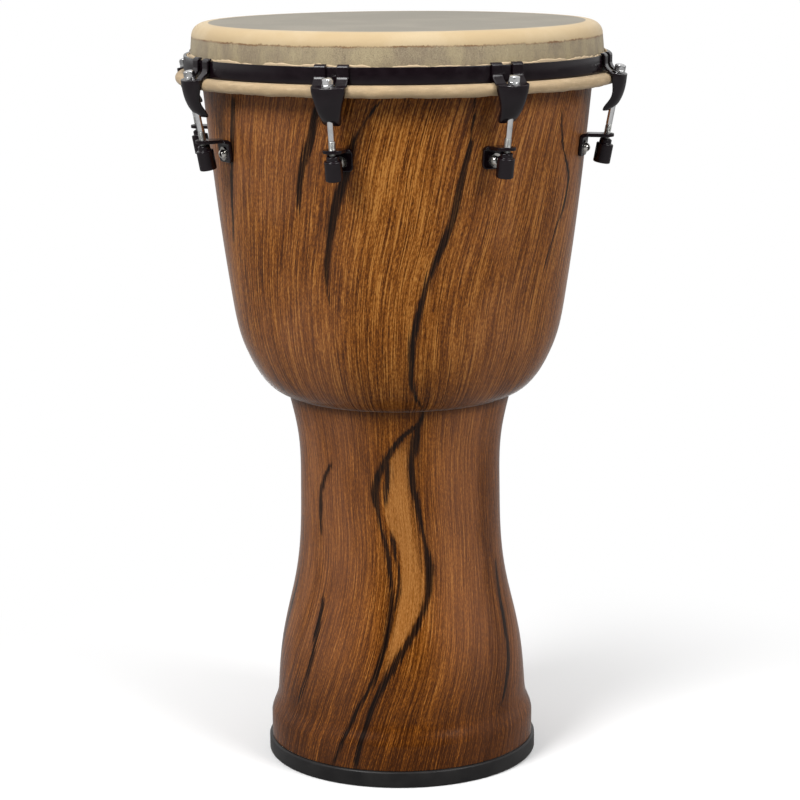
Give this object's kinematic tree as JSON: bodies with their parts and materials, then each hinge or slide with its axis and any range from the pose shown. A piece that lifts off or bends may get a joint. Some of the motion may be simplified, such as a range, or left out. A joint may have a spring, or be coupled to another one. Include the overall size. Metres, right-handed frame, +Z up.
{
  "type": "djembe",
  "caption": "Goblet drum with a skin head over a flared bowl, tuned by claws and threaded rods round the rim, on a waisted stem with a rubber base ring.",
  "frame": {"origin": "centre of the base, on the plane that the rubber base ring stands on", "axes": "+Z up along the drum's axis; the view that the drum is usually shown from looks along +Y"},
  "size_m": [0.391, 0.391, 0.656],
  "materials": {
    "painted_shell": "satin",
    "base_rubber": "matte",
    "goatskin": "matte",
    "black_coating": "satin",
    "bright_plating": "polished",
    "plain_steel": "satin"
  },
  "bodies": {
    "root": {"foot_shell": "painted_shell", "bowl_shell": "painted_shell", "base_ring": "base_rubber", "drumhead_skin": "goatskin", "lug_bracket_1": "black_coating", "lug_bracket_2": "black_coating", "lug_bracket_3": "black_coating", "lug_bracket_4": "black_coating", "lug_bracket_5": "black_coating", "lug_bracket_6": "black_coating", "lug_bracket_7": "black_coating", "lug_bracket_8": "black_coating", "bracket_bolts": "bright_plating", "bracket_washers": "bright_plating", "inner_washers": "plain_steel", "bracket_nuts": "plain_steel"},
    "hoop": {"counter_hoop": "black_coating", "flesh_hoop": "plain_steel", "claw_1": "black_coating", "claw_2": "black_coating", "claw_3": "black_coating", "claw_4": "black_coating", "claw_5": "black_coating", "claw_6": "black_coating", "claw_7": "black_coating", "claw_8": "black_coating", "rod_washers": "bright_plating"},
    "rod_1": {"tension_rod_1": "bright_plating"},
    "rod_2": {"tension_rod_2": "bright_plating"},
    "rod_3": {"tension_rod_3": "bright_plating"},
    "rod_4": {"tension_rod_4": "bright_plating"},
    "rod_5": {"tension_rod_5": "bright_plating"},
    "rod_6": {"tension_rod_6": "bright_plating"},
    "rod_7": {"tension_rod_7": "bright_plating"},
    "rod_8": {"tension_rod_8": "bright_plating"},
    "nut_1": {"swivel_nut_1": "black_coating"},
    "nut_2": {"swivel_nut_2": "black_coating"},
    "nut_3": {"swivel_nut_3": "black_coating"},
    "nut_4": {"swivel_nut_4": "black_coating"},
    "nut_5": {"swivel_nut_5": "black_coating"},
    "nut_6": {"swivel_nut_6": "black_coating"},
    "nut_7": {"swivel_nut_7": "black_coating"},
    "nut_8": {"swivel_nut_8": "black_coating"}
  },
  "joints": [
    {"name": "head_tuning", "type": "slide", "parent": "root", "child": "hoop", "axis": [0, 0, -1], "range_m": [-0.004, 0.006], "deforming": ["drumhead_skin"]},
    {"name": "rod_1_spin", "type": "hinge", "parent": "hoop", "child": "rod_1", "pos_m": [-0.16091, -0.08737, 0.546], "axis": [-0.1677, -0.091, 0.9816], "range_deg": [-2205, 1470]},
    {"name": "nut_1_float", "type": "slide", "parent": "root", "child": "nut_1", "axis": [-0.8788, -0.4772, 0], "range_m": [-0.0008, 0.0012]},
    {"name": "rod_2_spin", "type": "hinge", "parent": "hoop", "child": "rod_2", "pos_m": [-0.052, -0.17556, 0.546], "axis": [-0.0542, -0.183, 0.9816], "range_deg": [-2205, 1470]},
    {"name": "nut_2_float", "type": "slide", "parent": "root", "child": "nut_2", "axis": [-0.284, -0.9588, 0], "range_m": [-0.0008, 0.0012]},
    {"name": "rod_3_spin", "type": "hinge", "parent": "hoop", "child": "rod_3", "pos_m": [0.08737, -0.16091, 0.546], "axis": [0.091, -0.1677, 0.9816], "range_deg": [-2205, 1470]},
    {"name": "nut_3_float", "type": "slide", "parent": "root", "child": "nut_3", "axis": [0.4772, -0.8788, 0], "range_m": [-0.0008, 0.0012]},
    {"name": "rod_4_spin", "type": "hinge", "parent": "hoop", "child": "rod_4", "pos_m": [0.17556, -0.052, 0.546], "axis": [0.183, -0.0542, 0.9816], "range_deg": [-2205, 1470]},
    {"name": "nut_4_float", "type": "slide", "parent": "root", "child": "nut_4", "axis": [0.9588, -0.284, 0], "range_m": [-0.0008, 0.0012]},
    {"name": "rod_5_spin", "type": "hinge", "parent": "hoop", "child": "rod_5", "pos_m": [0.16091, 0.08737, 0.546], "axis": [0.1677, 0.091, 0.9816], "range_deg": [-2205, 1470]},
    {"name": "nut_5_float", "type": "slide", "parent": "root", "child": "nut_5", "axis": [0.8788, 0.4772, 0], "range_m": [-0.0008, 0.0012]},
    {"name": "rod_6_spin", "type": "hinge", "parent": "hoop", "child": "rod_6", "pos_m": [0.052, 0.17556, 0.546], "axis": [0.0542, 0.183, 0.9816], "range_deg": [-2205, 1470]},
    {"name": "nut_6_float", "type": "slide", "parent": "root", "child": "nut_6", "axis": [0.284, 0.9588, 0], "range_m": [-0.0008, 0.0012]},
    {"name": "rod_7_spin", "type": "hinge", "parent": "hoop", "child": "rod_7", "pos_m": [-0.08737, 0.16091, 0.546], "axis": [-0.091, 0.1677, 0.9816], "range_deg": [-2205, 1470]},
    {"name": "nut_7_float", "type": "slide", "parent": "root", "child": "nut_7", "axis": [-0.4772, 0.8788, 0], "range_m": [-0.0008, 0.0012]},
    {"name": "rod_8_spin", "type": "hinge", "parent": "hoop", "child": "rod_8", "pos_m": [-0.17556, 0.052, 0.546], "axis": [-0.183, 0.0542, 0.9816], "range_deg": [-2205, 1470]},
    {"name": "nut_8_float", "type": "slide", "parent": "root", "child": "nut_8", "axis": [-0.9588, 0.284, 0], "range_m": [-0.0008, 0.0012]}
  ],
  "couplings": [
    {"joint": "rod_1_spin", "follows": "head_tuning", "rad_per_m": -6400.8},
    {"joint": "nut_1_float", "follows": "head_tuning", "ratio": 0.19438},
    {"joint": "rod_2_spin", "follows": "head_tuning", "rad_per_m": -6400.8},
    {"joint": "nut_2_float", "follows": "head_tuning", "ratio": 0.19438},
    {"joint": "rod_3_spin", "follows": "head_tuning", "rad_per_m": -6400.8},
    {"joint": "nut_3_float", "follows": "head_tuning", "ratio": 0.19438},
    {"joint": "rod_4_spin", "follows": "head_tuning", "rad_per_m": -6400.8},
    {"joint": "nut_4_float", "follows": "head_tuning", "ratio": 0.19438},
    {"joint": "rod_5_spin", "follows": "head_tuning", "rad_per_m": -6400.8},
    {"joint": "nut_5_float", "follows": "head_tuning", "ratio": 0.19438},
    {"joint": "rod_6_spin", "follows": "head_tuning", "rad_per_m": -6400.8},
    {"joint": "nut_6_float", "follows": "head_tuning", "ratio": 0.19438},
    {"joint": "rod_7_spin", "follows": "head_tuning", "rad_per_m": -6400.8},
    {"joint": "nut_7_float", "follows": "head_tuning", "ratio": 0.19438},
    {"joint": "rod_8_spin", "follows": "head_tuning", "rad_per_m": -6400.8},
    {"joint": "nut_8_float", "follows": "head_tuning", "ratio": 0.19438}
  ]
}
